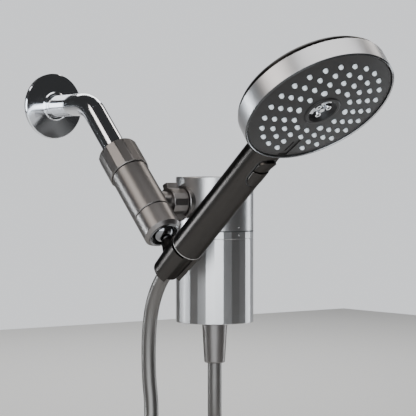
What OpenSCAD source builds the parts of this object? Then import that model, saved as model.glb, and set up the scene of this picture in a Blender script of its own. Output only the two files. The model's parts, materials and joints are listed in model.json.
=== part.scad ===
// Wall-hung hand shower: arm, bracket with an in-line filter, hose and handset.
// The origin is the centre of the wall flange's back face. +Z is up, the room is towards -Y,
// and the filter stands on the +X side of the arm.

/* [Shower arm] */
// Outer diameter of the arm's pipe
arm_d = 21.5; // [20:0.5:24]
// Wall of the arm's pipe
arm_wall = 1.6; // [1:0.1:2.5]
// Distance from the wall to the corner of the bend
arm_reach = 67; // [60:1:90]
// Radius of the bend on the pipe's centre line
arm_bend_r = 32; // [28:1:45]
// Length of the pipe from the corner of the bend to its lower end
arm_leg = 81.6; // [76:0.2:100]
// Length of the thread that goes into the wall
wall_thread_len = 18; // [14:1:24]
// Radius of the half-inch pipe thread
pipe_thread_r = 10.67; // [10.5:0.01:10.8]

/* [Wall flange] */
// Diameter of the flange
flange_d = 63.5; // [55:0.5:76]
// Height of the flange at its collar
flange_h = 6; // [4:0.5:10]
// Height of the flange's outer edge
flange_edge_h = 3; // [2:0.5:4]
// Thickness of the flange's sheet metal
flange_wall = 1; // [0.8:0.1:1.5]

/* [Bracket] */
// Diameter of the bracket's round body
body_d = 35; // [32:0.5:40]
// Length of the bracket's round body
body_len = 51; // [48:1:60]
// Length of the nut at the bracket's inlet
inlet_nut_len = 28.6; // [26:0.2:34]
// Diameter of the inlet nut across its corners
inlet_nut_d = 38; // [37:0.5:42]
// Length of the collar that holds the ball
collar_len = 25; // [24:0.5:32]
// Diameter of the swivel ball
ball_d = 21; // [20:0.5:22]
// Diameter of the stem between the ball and the cradle
stem_d = 10; // [8:0.5:10.5]
// Distance from the body's top to the branch's centre line
branch_drop = 35.4; // [32:0.2:38]

/* [Branch] */
// Distance from the bracket's centre line to the filter's centre line
filter_offset = 77.8; // [74:0.2:90]
// Diameter of the branch's neck
neck_d = 20; // [18:0.5:21]
// Distance from the bracket's centre line to the union nut
union_start = 23.3; // [22:0.1:25]
// Length of the union nut
union_len = 16; // [14:0.5:16.5]
// Diameter of the union nut across its corners
union_d = 26.5; // [26:0.5:28]
// Reach of the union nut's grip lugs from its centre
lug_reach = 18; // [16:0.5:19]
// Diameter of the ring where the branch meets the filter
cap_ring_d = 30; // [27:0.5:34]

/* [Filter housing] */
// Diameter of the filter housing
filter_d = 72; // [68:0.5:76]
// Height of the smooth cap
cap_h = 50; // [46:1:60]
// Height of the lock ring under the cap
lock_h = 7; // [5:0.5:10]
// Height of the faceted shell under the lock ring
shell_h = 77.6; // [70:0.2:95]
// Wall of the cap and the shell
filter_wall = 3.5; // [3:0.1:4.5]
// Distance from the branch's centre line up to the cap's top
cap_rise = 23.2; // [20:0.2:26]
// Number of facets round the shell and the lock ring
facets = 28; // [24:2:36]
// Diameter of the filter cartridge
cartridge_d = 55; // [48:1:56]

/* [Hose] */
// Outer diameter of the hose
hose_d = 13; // [12:0.5:14]
// Length of each conical hose nut
cone_len = 36.5; // [34:0.5:42]
// Diameter of a conical nut at its thread end
cone_top_d = 23.4; // [23:0.1:26]
// Diameter of a conical nut at its hose end
cone_end_d = 19.3; // [17:0.1:21]
// Mean diameter of the stored coil of hose
coil_d = 136; // [130:1:150]

/* [Cradle] */
// Length of the cradle along the hose nut
cradle_len = 36.5; // [32:0.5:38]
// Wall of the cradle at its rim
cradle_rim_wall = 3.3; // [2.5:0.1:5]
// Wall of the cradle at its foot
cradle_foot_wall = 3.6; // [2:0.1:4]
// Angle of the cradle's open side, for the hose to pass
cradle_slot = 76; // [74:1:90]

/* [Handset] */
// Diameter of the handle
handle_d = 28.5; // [27:0.5:32]
// Wall of the handle
handle_wall = 2.2; // [1.8:0.1:2.8]
// Distance along the handle from its lower end to the head's centre
head_reach = 209.5; // [200:0.5:240]
// Distance from the handle's centre line to the head's rim plane
head_lift = 18.7; // [17:0.1:20]
// Tilt of the head against the handle
head_tilt = 0; // [0:0.5:2]
// Angle of the handle above the horizontal
handle_rise = 38; // [34:1:42]

/* [Spray head] */
// Diameter of the head
head_d = 127; // [120:1:140]
// Height of the rim band
rim_h = 17; // [16:0.5:20]
// Rise of the face plate at its centre
face_rise = 4.5; // [3:0.5:6]
// Thickness of the face plate
face_t = 2.5; // [2:0.1:3]
// Height of the domed back behind the rim band
dome_h = 17; // [16.5:0.5:20]
// Diameter of one nozzle
nozzle_d = 4; // [3.5:0.1:4.6]
// Radius of the first ring of nozzles
nozzle_r1 = 23.6; // [22:0.2:24]
// Distance from one ring of nozzles to the next
nozzle_step = 8.8; // [8:0.1:9]
// Diameter of the bezel at the centre of the face
bezel_d = 31; // [29:0.5:33]

/* [Spray button] */
// Distance along the handle from its lower end to the button's centre
button_at = 120.5; // [100:0.5:124]
// Length of the button
button_len = 33; // [30:0.5:36]
// Width of the button
button_w = 16; // [13:0.5:16.5]
// Travel of the button
button_travel = 1.5; // [1:0.1:1.6]

/* [Clearances] */
// Radial clearance of a part that turns in or on another
run_gap = 0.06; // [0.03:0.01:0.1]
// Clearance between parts that only pass each other
free_gap = 0.35; // [0.3:0.05:0.5]

/* [Hidden] */
$fn = 48;
EPS = 0.01;

arm_r = arm_d / 2;
arm_bore_r = arm_r - arm_wall;
arm_angle = 45;                                   // drop of the arm below the horizontal
bend_tangent = arm_bend_r * tan(arm_angle / 2);
nut_grip = 16;                                    // pipe held inside the inlet nut

// Stations along the arm's slanted centre line, measured from the corner of the bend.
s_nut = arm_leg - nut_grip;
s_washer = arm_leg + 0.1;
washer_t = 2.4;
s_neck = s_washer + washer_t;
s_body = s_nut + inlet_nut_len + 0.2;
s_branch = s_body + branch_drop;
s_collar = s_body + body_len + 0.7;               // the gap is the groove above the collar
s_end = s_body + body_len + collar_len;
s_ball = s_end - 6;
body_r = body_d / 2;
ball_r = ball_d / 2;
stem_r = stem_d / 2;
spigot_r = body_r - 3.45;                         // thread between the body and the collar
spigot_len = 8.3;
seat_r = body_r - 4;                              // bore of the collar round the ball
trim_t = 3.3;
trim_bore_r = ball_r + 1.5;
neck_flange_r = 13.6;
neck_flange_t = 3.2;
neck_r = 11.4;
water_r = 6;                                      // water passages

corner = [0, -arm_reach, 0];
leg = [0, -cos(arm_angle), -sin(arm_angle)];      // direction of the slanted pipe
branch_at = corner + s_branch * leg;
ball_at = corner + s_ball * leg;

// Filter stations, all on the filter's own vertical centre line.
filter_r = filter_d / 2;
filter_at = [filter_offset, branch_at.y, 0];
z_cap_top = branch_at.z + cap_rise;
z_seam = z_cap_top - cap_h;
z_lock = z_seam - lock_h;
z_shell = z_lock - shell_h;
filter_bore_r = filter_r - filter_wall;
neck_wall = 2.4;
shell_neck_r = filter_bore_r - 1.1;
shell_neck_h = lock_h + 5;
seal_r = 0.75;
cap_land_h = 12.4;                                // narrow bore of the cap that the O-ring seals in
facet_turn = 1.4;                                 // sets one corner of the prism towards the room
nipple_r = 9.6;
nipple_len = 11;
gland_gap = 1.6;

// Union stations along +X, measured from the bracket's centre line.
x_spigot_end = union_start + union_len / 2;
union_seal_t = 2.2;
x_tail = x_spigot_end + union_seal_t;
tail_flange_t = 2.4;
tail_flange_r = 10.3;
tail_r = 7.6;
branch_thread_r = 9.4;
x_ring = union_start + union_len + 0.3;

// The hose nuts are cones, so their radius follows the distance from the thread end.
cone_top_r = cone_top_d / 2;
cone_end_r = cone_end_d / 2;
function cone_r(d) = cone_top_r + (cone_end_r - cone_top_r) * d / cone_len;
hose_r = hose_d / 2;
hose_bore_r = hose_r + 0.1;
cone_gap = 0.6;                                   // from the handle's end to the nut

// Handset frame: origin at the handle's lower end, z along the handle, -y to the spray side.
handle_r = handle_d / 2;
handle_bore_r = handle_r - handle_wall;
stem_len = 16;
cradle_drop = 1;                                  // from the handle's end to the cradle's rim
cradle_fit = 0.15;
tilt_back = 7;                                    // lean of the cradle against the ball's stem
u = [0, -cos(handle_rise), sin(handle_rise)];
back = [0, sin(handle_rise), cos(handle_rise)];
cradle_mid = cradle_drop + cradle_len / 2;
cradle_mid_r = cone_r(cradle_mid - cone_gap) + cradle_fit + (cradle_rim_wall + cradle_foot_wall) / 2;
s_foot = s_end + stem_len;                        // the stem's end, inside the cradle's wall
s_stem = s_foot - 0.6;
s_head = s_foot + 0.4;
s_screw = s_foot - 12;
screw_r = 2;
screw_head_r = 3.5;
stem_foot = corner + s_foot * leg;
handle_end = stem_foot - (cradle_mid_r - 1.6) * back + cradle_mid * u;

head_r = head_d / 2;
rim_wall = 1.6;
face_r = head_r - rim_wall - 0.8;
face_edge = -1.5;                                 // the face plate's edge below the rim plane
sphere_r = (face_r * face_r + face_rise * face_rise) / (2 * face_rise);
sphere_z = face_edge + face_rise - sphere_r;
mat_t = 1.5;
nozzle_r = nozzle_d / 2;
hole_gap = 0.15;
key_w = 9;
key_in = head_r - 26;
key_out = face_r - 1.4;
bezel_r = bezel_d / 2;
jet_bore_r = bezel_r - 3.5;
plate_z = -8.4;
plate_t = 2.4;
plate_r = face_r - 3.5;
chamber_r = head_r - 16;
chamber_h = 17.5;
turbine_r = 17;
axle_r = 1.5;
tube_r = 6;
tube_wall = 1.5;
spigot_top_r = tube_r - tube_wall;
tube_start = 6;

button_outer_r = handle_r + 0.4;
button_inner_r = handle_bore_r - 0.9;
scoop_r = handle_r - 0.5;
pad_r = handle_r + 2.4;
valve_r = 8.4;
pin_r = 2;
spring_wire_r = 0.3;
spring_r = 3.3;
spring_turns = 3;
well_depth = 1.5;

cartridge_r = cartridge_d / 2;
z_cart = z_shell + filter_wall + 3.6;
z_cart_top = z_cap_top - filter_wall - 3;
cart_cap_h = 5;

screw_angles = [45 : 90 : 315];
screw_ring_r = chamber_r + 4.2;

// Rings of nozzles: how many each has, and the first that it leaves out for the key.
nozzle_counts = [12, 16, 20, 24];
function ring_radius(k) = nozzle_r1 + k * nozzle_step;
function skips(k) = k > 1 ? 1 : 0;

// Hose stations: the coil hangs under the filter in a plane parallel to the wall.
coil_r = coil_d / 2;
coil_x = 39;
coil_z = -386;
coil_turns = 2.5;
coil_pitch = 13.6;
coil_front = -178;
coil_back = coil_front + coil_turns * coil_pitch;
coil_start = [coil_x - coil_r, coil_front, coil_z];
coil_finish = [coil_x + coil_r, coil_back, coil_z];

// The hose's route from the handset to the coil, then from the coil to the filter.
handset_route = [
    handle_end - 19 * u,
    handle_end - 28 * u,
    handle_end - 37 * u,
    handle_end - 47 * u,
    [0, -175.5, -171],
    [0, -168.5, -186],
    [0, -164.5, -204],
    [0, -163, -226],
    [0, -164, -250],
    [0, -167, -272],
    [-3, -171, -294],
    [-9, -176, -316],
    [-18, -180, -337],
    [-25, -181, -357],
    coil_start + [0.4, -0.4, 10],
    coil_start
];
filter_route = [
    coil_finish,
    coil_finish + [-0.4, 0.4, 10],
    [104.5, -142.2, -362],
    [98.5, -144, -344],
    [90, -148.5, -326],
    [82.5, -154, -308],
    [78.6, -157.8, -290],
    [filter_offset, branch_at.y, -270],
    [filter_offset, branch_at.y, z_shell - 48],
    [filter_offset, branch_at.y, z_shell - 32],
    [filter_offset, branch_at.y, z_shell - 22]
];

// ---- frames ----

module on_wall() { rotate([90, 0, 0]) children(); }
module on_leg(s) { translate(corner + s * leg) rotate([90 + arm_angle, 0, 0]) children(); }
module on_branch(x) { translate(branch_at + [x, 0, 0]) rotate([0, 90, 0]) children(); }
module on_filter(z) { translate(filter_at + [0, 0, z]) children(); }
module on_handle(z) { translate(handle_end + z * u) rotate([90 - handle_rise, 0, 0]) children(); }
module on_head(z) {
    on_handle(head_reach) translate([0, -head_lift, 0]) rotate([90 - head_tilt, 0, 0])
        translate([0, 0, z]) children();
}

// ---- shared shapes ----

// A ring from one radius to another, with its foot at z = 0.
module ring(outer, inner, h) {
    difference() {
        cylinder(r = outer, h = h);
        translate([0, 0, -1]) cylinder(r = inner, h = h + 2);
    }
}

// A round bar with both of its edges bevelled.
module bevelled(r, h, b) {
    rotate_extrude() polygon([[0, 0], [r - b, 0], [r, b], [r, h - b], [r - b, h], [0, h]]);
}

// A flat-sided prism whose corners lie at the radius given.
module prism(r, h, sides) {
    linear_extrude(height = h)
        polygon([for (i = [0 : sides - 1]) r * [cos(360 * i / sides), sin(360 * i / sides)]]);
}

// A prism with bevelled ends.
module grip_prism(r, h, sides, b) {
    intersection() {
        prism(r, h, sides);
        bevelled(r + EPS, h, b);
    }
}

// A plate with half-round ends, along z, that is cut towards the spray side.
module pill(len, w, from_y, to_y) {
    translate([0, from_y, 0]) rotate([90, 0, 0]) linear_extrude(height = from_y - to_y)
        union() {
            square([w, len - w], center = true);
            translate([0, (len - w) / 2]) circle(d = w);
            translate([0, -(len - w) / 2]) circle(d = w);
        }
}

function unit(v) = v / norm(v);
function along(p, i) = unit(p[min(i + 1, len(p) - 1)] - p[max(i - 1, 0)]);

// A round tube swept through the points, with ten sides.
module sweep(points, r, side, sides = 10) {
    last = len(points) - 1;
    rings = [for (i = [0 : last], k = [0 : sides - 1])
        let (t = along(points, i), a = unit(cross(side, t)), b = cross(t, a))
        points[i] + r * (cos(360 * k / sides) * a + sin(360 * k / sides) * b)];
    walls = [for (i = [0 : last - 1], k = [0 : sides - 1])
        [i * sides + k, i * sides + (k + 1) % sides,
         (i + 1) * sides + (k + 1) % sides, (i + 1) * sides + k]];
    foot = [[for (k = [sides - 1 : -1 : 0]) k]];
    top = [[for (k = [0 : sides - 1]) last * sides + k]];
    polyhedron(points = rings, faces = concat(foot, walls, top));
}

// A conical hose nut that points along +z, with its hose end at z = cone_len.
module hose_cone() {
    difference() {
        rotate_extrude() polygon([
            [0, 0], [cone_top_r - 0.5, 0], [cone_top_r, 0.6],
            [cone_end_r, cone_len - 0.8], [cone_end_r - 0.8, cone_len], [0, cone_len]]);
        translate([0, 0, -1]) cylinder(r = nipple_r + run_gap, h = nipple_len + 4);
        cylinder(r = hose_bore_r, h = cone_len + 1);
    }
}

// ---- wall and arm ----

module wall_flange() {
    hole = arm_r + 0.15;
    color("#c9ccd0") on_wall() rotate_extrude() polygon([
        [flange_d / 2 - flange_wall, 0], [flange_d / 2, 0],
        [flange_d / 2, flange_edge_h - 0.8], [flange_d / 2 - 0.8, flange_edge_h],
        [hole + 3, flange_h - 0.6], [hole + 2, flange_h], [hole, flange_h],
        [hole, flange_h - 2.2], [hole + 2.5, flange_h - flange_wall - 0.6],
        [flange_d / 2 - flange_wall, flange_edge_h - flange_wall]]);
}

module flange_gasket() {
    color("#2b2b2b") on_wall() ring(flange_d / 2 - flange_wall, flange_d / 2 - 8, 1.4);
}

module shower_arm() {
    color("#c9ccd0") difference() {
        union() {
            translate([0, wall_thread_len, 0]) on_wall()
                cylinder(r = pipe_thread_r, h = wall_thread_len + 1);
            on_wall() cylinder(r = arm_r - 0.6, h = 3);
            arm_run(arm_r, 2, s_nut - 1.5);
            on_leg(s_nut - 2) cylinder(r = pipe_thread_r, h = nut_grip + 2);
        }
        arm_run(arm_bore_r, -wall_thread_len - 1, arm_leg + 1);
    }
}

// The pipe's run as a bar: straight from the wall, round the bend and down the slanted leg.
// The bend is a hair fatter, so that it swallows the ends of the straight bars.
module arm_run(r, from_wall, leg_end) {
    hair = 0.02;
    lap = 0.5;
    translate([0, -from_wall, 0]) on_wall()
        cylinder(r = r, h = arm_reach - bend_tangent - from_wall + lap);
    translate([0, -(arm_reach - bend_tangent), -arm_bend_r]) rotate([180, -90, 0])
        rotate_extrude(angle = arm_angle) translate([arm_bend_r, 0]) circle(r = r + hair);
    on_leg(bend_tangent - lap) cylinder(r = r, h = leg_end - bend_tangent + lap);
}

module inlet_nut() {
    lip = 3;
    grip_len = nut_grip - 0.4;
    color("#5b5755") on_leg(s_nut) difference() {
        grip_prism(inlet_nut_d / 2, inlet_nut_len, 14, 0.8);
        translate([0, 0, -1]) cylinder(r = pipe_thread_r + run_gap, h = grip_len + 2);
        translate([0, 0, grip_len]) cylinder(r = neck_flange_r + 0.2, h = inlet_nut_len - lip - grip_len);
        cylinder(r = neck_r + 0.2, h = inlet_nut_len + 1);
    }
}

module inlet_washer() {
    color("#1f1f1f") on_leg(s_washer) ring(neck_flange_r - 0.3, arm_bore_r - 1, washer_t);
}

module inlet_screen() {
    screen_r = arm_bore_r - 1;
    color("#b9bcc0") on_leg(s_washer + washer_t / 2 - 0.3) difference() {
        cylinder(r = screen_r, h = 0.6);
        for (x = [-4.5 : 3 : 4.5], y = [-4.5 : 3 : 4.5])
            translate([x - 0.9, y - 0.9, -1]) cube([1.8, 1.8, 3]);
    }
}

// ---- bracket ----

module bracket_body() {
    color("#57524f") difference() {
        union() {
            on_leg(s_neck) cylinder(r = neck_flange_r, h = neck_flange_t);
            on_leg(s_neck) cylinder(r = neck_r, h = s_body - s_neck + 1);
            on_leg(s_body) bevelled(body_r, body_len, 0.6);
            on_leg(s_body + body_len - 1) cylinder(r = spigot_r, h = spigot_len + 1);
            on_branch(0) cylinder(r = neck_d / 2, h = union_start);
            on_branch(0) cylinder(r = branch_thread_r, h = x_spigot_end);
            branch_pad();
        }
        on_leg(s_neck - 1) cylinder(r = water_r + 1, h = s_branch - s_neck + 1);
        on_branch(0) cylinder(r = water_r, h = x_spigot_end + 1);
        on_leg(s_body + body_len + spigot_len - 3) cylinder(r = seat_r - 3, h = 4);
    }
}

// The raised pad on the body that the branch's neck grows out of.
module branch_pad() {
    pad_len = body_len - branch_drop + 16;
    intersection() {
        on_leg(s_branch - 17) cylinder(r = body_r + 0.9, h = pad_len);
        on_leg(s_branch - 17) translate([0, -8, 0]) cube([body_d, 16, pad_len]);
    }
}

module ball_collar() {
    color("#57524f") on_leg(s_collar) difference() {
        rotate_extrude() polygon([
            [0, 0], [body_r - 0.5, 0], [body_r, 0.5], [body_r, s_end - s_collar - 3],
            [body_r - 3, s_end - s_collar], [0, s_end - s_collar]]);
        translate([0, 0, -1]) cylinder(r = spigot_r, h = spigot_len + 1);
        cylinder(r = seat_r, h = s_end - s_collar - trim_t + 0.6);
        translate([0, 0, s_end - s_collar - trim_t + 0.6]) cylinder(r = seat_r + 0.9, h = 40);
    }
}

module collar_trim() {
    color("#c9ccd0") on_leg(s_end - trim_t + 0.6) difference() {
        union() {
            cylinder(r = seat_r + 0.9, h = trim_t - 0.6);
            translate([0, 0, trim_t - 0.6]) cylinder(r1 = seat_r + 0.4, r2 = seat_r - 0.4, h = 0.6);
        }
        translate([0, 0, -1]) cylinder(r = trim_bore_r, h = trim_t + 2);
    }
}

module ball_ring() {
    h = s_end - trim_t + 0.6 - (s_ball - 0.8);
    color("#1a1a1a") difference() {
        on_leg(s_ball - 0.8) cylinder(r = seat_r, h = h);
        translate(ball_at) sphere(r = ball_r + 0.08);
    }
}

module swivel_seat() {
    foot = s_collar + spigot_len + 0.3;
    color("#d8d6cf") difference() {
        on_leg(foot) cylinder(r = seat_r - run_gap, h = s_ball - 1.2 - foot);
        translate(ball_at) sphere(r = ball_r + 0.08);
        on_leg(foot - 1) cylinder(r = 4, h = 20);
    }
}

module cradle_ball() {
    color("#c9ccd0") difference() {
        union() {
            translate(ball_at) sphere(r = ball_r);
            on_leg(s_ball) cylinder(r = stem_r, h = s_stem - s_ball);
        }
        on_leg(s_screw) cylinder(r = screw_r, h = 20);
    }
}

// ---- cradle ----

module cradle_cone(extra_rim, extra_foot, over = 0) {
    cylinder(
        r1 = cone_r(cradle_drop + cradle_len - cone_gap) + cradle_fit + extra_foot,
        r2 = cone_r(cradle_drop - cone_gap) + cradle_fit + extra_rim, h = cradle_len + over);
}

module cradle() {
    reach = 40;
    half = cradle_slot / 2;
    color("#4a4643") difference() {
        union() {
            on_handle(-cradle_drop - cradle_len) cradle_cone(cradle_rim_wall, cradle_foot_wall);
            on_leg(s_foot - 9) cylinder(r1 = stem_r + 1, r2 = stem_r + 4, h = 10);
        }
        on_handle(-cradle_drop - cradle_len) translate([0, 0, -EPS]) cradle_cone(0, 0, 2 * EPS);
        on_handle(-cradle_drop - cradle_len - 1) linear_extrude(height = cradle_len + 2)
            polygon([[0, 0], reach * [-sin(half), -cos(half)], reach * [sin(half), -cos(half)]]);
        on_leg(s_ball) cylinder(r = stem_r, h = s_stem - s_ball);
        on_leg(s_stem - 1) cylinder(r = screw_r, h = 5);
        on_leg(s_head) cylinder(r = screw_head_r + 0.1, h = 9);
        on_handle(-cradle_drop - cradle_len) cylinder(r = cone_end_r, h = cradle_len);
    }
}

module cradle_screw() {
    color("#9a9a9a") on_leg(s_screw) difference() {
        union() {
            cylinder(r = screw_r, h = s_head - s_screw);
            translate([0, 0, s_head - s_screw]) cylinder(r = screw_head_r, h = 1.2);
        }
        translate([0, 0, s_head - s_screw - 0.6]) cylinder(r = 1.3, h = 3, $fn = 6);
    }
}

// ---- branch and filter ----

module union_nut() {
    tail_cut = x_tail + tail_flange_t - union_start + 0.3;
    lug_w = 7;
    color("#55504d") on_branch(union_start) difference() {
        union() {
            grip_prism(union_d / 2, union_len, 14, 0.7);
            rotate([0, 0, -22]) intersection() {
                translate([-lug_reach, -lug_w / 2, 2]) cube([2 * lug_reach, lug_w, union_len - 4]);
                bevelled(lug_reach, union_len, 2);
            }
        }
        translate([0, 0, -1]) cylinder(r = branch_thread_r + run_gap, h = union_len / 2 + 1.2);
        translate([0, 0, union_len / 2]) cylinder(r = tail_flange_r + 0.2, h = tail_cut - union_len / 2);
        cylinder(r = tail_r + 0.2, h = union_len + 1);
    }
}

module union_seal() {
    color("#1f1f1f") on_branch(x_spigot_end) ring(branch_thread_r - 0.2, water_r, union_seal_t);
}

module cap_ring() {
    color("#57524f") difference() {
        on_branch(x_ring) bevelled(cap_ring_d / 2, filter_offset - x_ring - filter_r + 5, 0.5);
        on_branch(x_ring - 1) cylinder(r = tail_r, h = 20);
        on_filter(z_seam - 5) cylinder(r = filter_r, h = cap_h + 10);
    }
}

module alignment_dot(z) {
    on_filter(z) rotate([90, 0, 0]) translate([0, 0, filter_r - 0.9]) cylinder(r = 1.2, h = 2);
}

module filter_cap() {
    color("#8f8b88") difference() {
        union() {
            on_filter(z_seam) rotate_extrude() polygon(concat(
                [[0, 0], [filter_r - 0.4, 0], [filter_r, 0.4]],
                [for (a = [0 : 22.5 : 90]) [filter_r - 1.2 * (1 - cos(a)), cap_h - 1.2 * (1 - sin(a))]],
                [[0, cap_h]]));
            on_branch(x_tail) cylinder(r = tail_r, h = filter_offset - x_tail - filter_r + 6);
            on_branch(x_tail) cylinder(r = tail_flange_r, h = tail_flange_t);
        }
        on_filter(z_seam - 1) cylinder(r = shell_neck_r + free_gap, h = cap_land_h + 1);
        difference() {
            on_filter(z_seam + cap_land_h - EPS)
                cylinder(r = filter_bore_r, h = cap_h - cap_land_h - filter_wall);
            on_filter(z_cap_top - filter_wall - 2.8) cylinder(r = 9, h = 4);
        }
        on_filter(z_cap_top - filter_wall - 4) cylinder(r = 6.2, h = 3.7);
        on_branch(x_tail - 1) cylinder(r = water_r - 0.8, h = filter_offset - x_tail - 20);
        on_filter(z_seam + 2.4) ring(shell_neck_r + free_gap + 1.3, shell_neck_r, 1.6);
        alignment_dot(z_seam + 3.4);
    }
}

module lock_ring() {
    color("#8f8b88") difference() {
        on_filter(z_lock + 0.1) rotate([0, 0, facet_turn]) grip_prism(filter_r, lock_h - 0.4, facets, 0.2);
        on_filter(z_lock - 1) cylinder(r = shell_neck_r + run_gap, h = lock_h + 2);
        alignment_dot(z_seam - 3.8);
    }
}

module filter_shell() {
    color("#8f8b88") difference() {
        union() {
            on_filter(z_shell) rotate([0, 0, facet_turn]) grip_prism(filter_r, shell_h, facets, 0.4);
            on_filter(z_lock - 1) cylinder(r = shell_neck_r, h = shell_neck_h + 1);
        }
        on_filter(z_shell + filter_wall) cylinder(r = filter_bore_r, h = shell_h - 2 * filter_wall);
        on_filter(z_shell + filter_wall) cylinder(r = shell_neck_r - neck_wall, h = shell_h + 20);
        on_filter(z_shell - 1) cylinder(r = 8.2, h = 10);
    }
}

module housing_seal() {
    color("#1f1f1f") on_filter(z_seam + 3.2) rotate_extrude()
        translate([shell_neck_r + 0.15 + seal_r, 0]) circle(r = seal_r, $fn = 24);
}

module cartridge_top() {
    color("#e6e6e2") on_filter(z_cart_top - cart_cap_h) difference() {
        union() {
            bevelled(cartridge_r, cart_cap_h, 1);
            cylinder(r = 5.8, h = cart_cap_h + 2.4);
        }
        translate([0, 0, -1]) ring(cartridge_r - 1.2, cartridge_r - 3, 3.4);
    }
}

module cartridge_tube() {
    rows = 3;
    h = z_cart_top - cart_cap_h + 2.4 - (z_cart + cart_cap_h - 2.4);
    pitch = (h - 12) / rows;
    color("#dcdcd6") on_filter(z_cart + cart_cap_h - 2.4) difference() {
        ring(cartridge_r - 1.2, cartridge_r - 3, h);
        for (row = [0 : rows - 1], a = [0 : 45 : 315])
            rotate([0, 0, a]) translate([0, -2, 6 + row * pitch + 3]) cube([cartridge_r, 4, pitch - 6]);
    }
}

module filter_media() {
    color("#3a3b3d") on_filter(z_cart + cart_cap_h)
        ring(cartridge_r - 3.2, 7, z_cart_top - cart_cap_h - z_cart - cart_cap_h);
}

module cartridge_base() {
    color("#e6e6e2") on_filter(z_cart) difference() {
        union() {
            bevelled(cartridge_r, cart_cap_h, 1);
            translate([0, 0, -2.6]) cylinder(r = 8, h = 4);
        }
        translate([0, 0, cart_cap_h - 2.4]) ring(cartridge_r - 1.2, cartridge_r - 3, 3.4);
        translate([0, 0, -5]) cylinder(r = 5, h = cart_cap_h + 8);
    }
}

module cartridge_seal() {
    color("#1f1f1f") on_filter(z_cart - 2.6) ring(10.4, 8, 2.4);
}

module outlet_nipple() {
    color("#b08d57") difference() {
        union() {
            on_filter(z_shell + filter_wall) cylinder(r = 11, h = 0.9);
            on_filter(z_shell - gland_gap) cylinder(r = 8.2, h = filter_wall + gland_gap + 0.5);
            on_filter(z_shell - gland_gap - nipple_len) cylinder(r = nipple_r, h = nipple_len + gland_gap - 0.1);
        }
        on_filter(z_shell - 20) cylinder(r = 4.6, h = 40);
    }
}

module lower_hose_nut() {
    color("#6a6664") on_filter(z_shell - gland_gap) mirror([0, 0, 1]) hose_cone();
}

module lower_hose_washer() {
    color("#1f1f1f") on_filter(z_shell - gland_gap - nipple_len - 2.2) ring(nipple_r - 0.1, 4.6, 2.1);
}

// ---- hose ----

module hose_handset_run() { color("#3b3735") sweep(handset_route, hose_r, [1, 0, 0]); }
module hose_filter_run() { color("#3b3735") sweep(filter_route, hose_r, [0, 1, 0]); }

// The outer shape of the stored turns, which lie one behind another.
module hose_coil() {
    depth = coil_turns * coil_pitch + hose_d;
    color("#3b3735") translate([coil_x, coil_front - hose_r, coil_z]) rotate([-90, 0, 0])
        difference() {
            bevelled(coil_r + hose_r, depth, 4);
            translate([0, 0, -1]) cylinder(r = coil_r - hose_r, h = depth + 2);
        }
}

// Two soft bands round the bundle of turns, near its upper sides.
module coil_ties() {
    band = 1.2;
    depth = coil_turns * coil_pitch + hose_d;
    color("#222222") for (a = [62, 118])
        translate([coil_x, coil_front - hose_r, coil_z]) rotate([0, -a, 0])
            translate([coil_r, depth / 2, 0]) difference() {
                cube([hose_d + 2 * band, depth + 2 * band, 9], center = true);
                cube([hose_d + 0.02, depth + 0.02, 10], center = true);
            }
}

module upper_hose_nut() {
    color("#4a4643") on_handle(-cone_gap) mirror([0, 0, 1]) hose_cone();
}

module upper_hose_washer() {
    color("#1f1f1f") on_handle(-cone_gap - nipple_len - 2.9) ring(nipple_r - 0.1, 4.6, 2.1);
}

// ---- handle ----

module inlet_nipple() {
    color("#b08d57") difference() {
        union() {
            on_handle(-cone_gap - nipple_len) cylinder(r = nipple_r, h = nipple_len + cone_gap + 2.6);
            on_handle(2.5) cylinder(r = handle_bore_r - 0.1, h = 2.5);
            on_handle(4) cylinder(r = spigot_top_r, h = 14);
        }
        on_handle(-20) cylinder(r = 3.2, h = 60);
        on_handle(-cone_gap - nipple_len - 1) cylinder(r = 4.6, h = 5);
    }
}

module flow_restrictor() {
    color("#3f8f5f") on_handle(-cone_gap - nipple_len) ring(4.55, 1.4, 3.6);
}

module handle_shell() {
    span = head_reach;
    color("#3f3b39") difference() {
        on_handle(0) rotate_extrude() polygon([
            [0, 0], [handle_r - 0.8, 0], [handle_r, 0.8], [handle_r, span], [0, span]]);
        on_handle(2.5) cylinder(r = handle_bore_r, h = span);
        on_handle(-1) cylinder(r = nipple_r + 0.02, h = 5);
        on_head(-60) cylinder(r = head_r, h = 80);
        on_handle(button_at) pill(button_len + 2.6, button_w + 2.6, 0, -30);
    }
}

module water_tube() {
    color("#d9d9d4") difference() {
        on_handle(tube_start) cylinder(r = tube_r, h = head_reach - chamber_r + 4 - tube_start);
        on_handle(tube_start - 1) cylinder(r = tube_r - tube_wall, h = head_reach);
        on_handle(button_at) rotate([90, 0, 0]) cylinder(r = pin_r + run_gap, h = 10);
    }
}

module valve_sleeve() {
    span = 24;
    color("#cfcfc8") difference() {
        on_handle(button_at - span / 2) cylinder(r = valve_r, h = span);
        on_handle(button_at - span / 2 - 1) cylinder(r = tube_r, h = span + 2);
        on_handle(button_at) rotate([90, 0, 0]) cylinder(r = pin_r + run_gap, h = 12);
        on_handle(button_at) translate([0, -valve_r + well_depth, 0]) rotate([90, 0, 0])
            cylinder(r = spring_r + 0.9, h = 4);
    }
}

module valve_spring() {
    coil_out_r = spring_r + spring_wire_r;
    span = sqrt(button_inner_r * button_inner_r - coil_out_r * coil_out_r)
        - valve_r + well_depth - 2 * spring_wire_r - 0.15;
    steps = 14 * spring_turns;
    path = [for (i = [0 : steps]) let (a = 360 * i * spring_turns / steps)
        [spring_r * cos(a), -valve_r + well_depth - spring_wire_r - 0.05 - span * i / steps,
         spring_r * sin(a)]];
    color("#aeb2b6") on_handle(button_at) sweep(path, spring_wire_r, [0, 1, 0], 8);
}

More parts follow.
